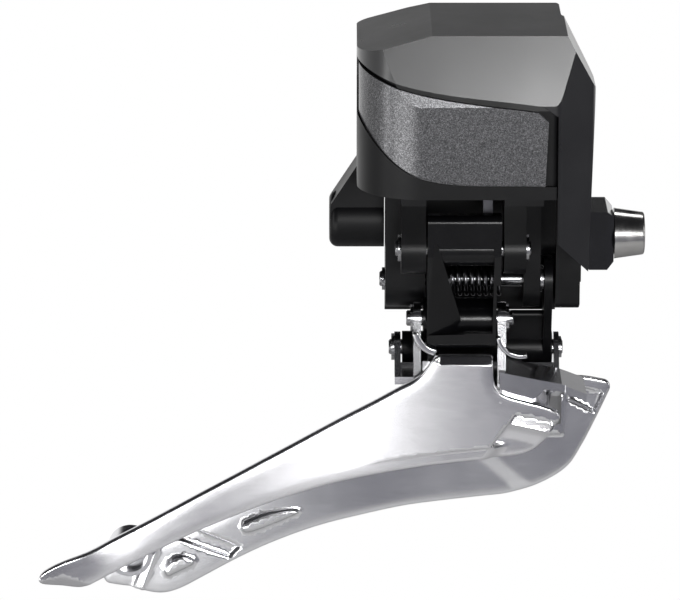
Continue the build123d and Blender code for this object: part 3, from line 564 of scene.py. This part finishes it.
def arc_strip(name, centre, radius, start, stop, y, width, thick, body, slot_name):
    """A curved strip with rounded edges: an arc in XZ about centre, width along Y."""
    verts, rings, section = [], [], []
    for k in range(ARC_SIDES):
        a = 2 * pi * k / ARC_SIDES
        across, along = (max(-1, min(1, 1.35 * f(a))) for f in (cos, sin))  # a circle squared off by clipping
        section.append((across * thick / 2, along * width / 2))
    for i in range(ARC_STEPS + 1):
        angle = radians(start + (stop - start) * i / ARC_STEPS)
        first = len(verts)
        for dr, dy in section:
            reach = radius + dr
            verts.append((centre[0] + reach * cos(angle), y + dy, centre[1] + reach * sin(angle)))
        rings.append(range(first, first + ARC_SIDES))
    faces = skin(rings) + [tuple(rings[0]), tuple(reversed(rings[-1]))]
    return mesh_object(name, verts, faces, MATS[slot_name], body, None)


arc_strip("tail_ear_fold", (-26.2, -14.2), 4.6, 188, 262, -17.6, 1.5, 1.3, "guide", "bridge_steel")
arc_strip("nose_ear_fold", (-10.6, -15.4), 4.4, 186, 285, -16.6, 2.2, 0.9, "guide", "bridge_steel")
tube_along("nose_post", [(-3.9, -12.6, -25.4), (-3.9, -12.6, -25.9), (-3.9, -12.6, -28.6),
                         (-3.9, -12.6, -28.7), (-3.9, -12.4, -34.6)],
           [1.7, 2.0, 2.0, 1.45, 1.45], "guide", "bridge_steel", 6)


# --- floor, light and camera --------------------------------------------------------------------------------
def stage_plane(name, size, location, color):
    """A large matt plane that isn't part of the object."""
    bpy.ops.mesh.primitive_plane_add(size=size, location=location)
    plane = bpy.context.object
    plane.name = name
    mat, nodes, links, shader = material(name + "_paint", color, 0, 0.9)
    cloud = noise(nodes, links, coords(nodes, links), 3, 2)
    tint = blend_color(nodes, links, cloud, color, tuple(c * 0.98 for c in color))
    links.new(tint, shader.inputs["Base Color"])
    plane.data.materials.append(mat)


def area_light(name, location, target, size, power):
    """A soft box that points at target."""
    light = bpy.data.lights.new(name, "AREA")
    light.shape, light.size, light.size_y, light.energy = "RECTANGLE", size[0], size[1], power
    obj = bpy.data.objects.new(name, light)
    bpy.context.collection.objects.link(obj)
    obj.location = location
    obj.rotation_euler = (Vector(target) - Vector(location)).to_track_quat("-Z", "Y").to_euler()


stage_plane("floor", 1.1, (0, 0, -0.30), (0.8, 0.8, 0.8))
CENTRE = (-0.04, -0.01, -0.01)
area_light("key", (0.09, -0.60, 0.11), CENTRE, (0.18, 0.12), 1.9)
area_light("top", (0.0, 0.30, 0.55), CENTRE, (0.4, 0.15), 0.8)
area_light("left", (-0.62, -0.30, 0.05), CENTRE, (0.12, 0.5), 0.9)
area_light("right", (0.55, -0.25, 0.15), CENTRE, (0.10, 0.4), 0.6)
area_light("low", (-0.40, -0.62, -0.2), CENTRE, (0.5, 0.16), 1.3)


BACKDROP = (1, 1, 1)
GLOW_AHEAD, GLOW_BEHIND = (0.20, 0.20, 0.225), (0.80, 0.80, 0.80)  # from below, at the nose and the tail
DIM_ROOM = (0.018, 0.018, 0.02)


def studio_world():
    """A white backdrop low behind the object, a dim room elsewhere."""
    world = bpy.data.worlds.new("studio")
    world.use_nodes = True
    nodes, links = world.node_tree.nodes, world.node_tree.links
    direction = nodes.new("ShaderNodeTexCoord").outputs["Generated"]
    split = nodes.new("ShaderNodeSeparateXYZ")
    links.new(direction, split.inputs["Vector"])
    behind = remap(nodes, links, split.outputs["Y"], 0, 1, 0.25, 0.6)
    low = remap(nodes, links, split.outputs["Z"], 1, 0, 0.10, 0.22)
    both = nodes.new("ShaderNodeMath")
    both.operation = "MULTIPLY"
    links.new(behind, both.inputs[0])
    links.new(low, both.inputs[1])
    side = remap(nodes, links, split.outputs["X"], 1, 0, -0.14, 0.02)
    floor_glow = blend_color(nodes, links, side, GLOW_AHEAD, GLOW_BEHIND)
    up = remap(nodes, links, split.outputs["Z"], 0, 1, -0.16, 0.02)
    room = blend_color(nodes, links, up, (0, 0, 0), DIM_ROOM)
    links.new(floor_glow, room.node.inputs[MIX_A])
    final = blend_color(nodes, links, both.outputs["Value"], (0, 0, 0), BACKDROP)
    links.new(room, final.node.inputs[MIX_A])
    links.new(final, nodes["Background"].inputs["Color"])
    nodes["Background"].inputs["Strength"].default_value = 1.0
    bpy.context.scene.world = world


studio_world()
bpy.context.scene.view_settings.view_transform = "Standard"

TILT = radians(16)
DISTANCE = 0.908
camera = bpy.data.cameras.new("camera")
camera.lens, camera.sensor_width, camera.clip_start = 250, 36, 0.05
view = bpy.data.objects.new("camera", camera)
bpy.context.collection.objects.link(view)
aim = Vector((-0.0452, -0.010, -0.01063))
view.location = aim - Vector((0, cos(TILT), -sin(TILT))) * DISTANCE
view.rotation_euler = (pi / 2 - TILT, 0, 0)
bpy.context.scene.camera = view
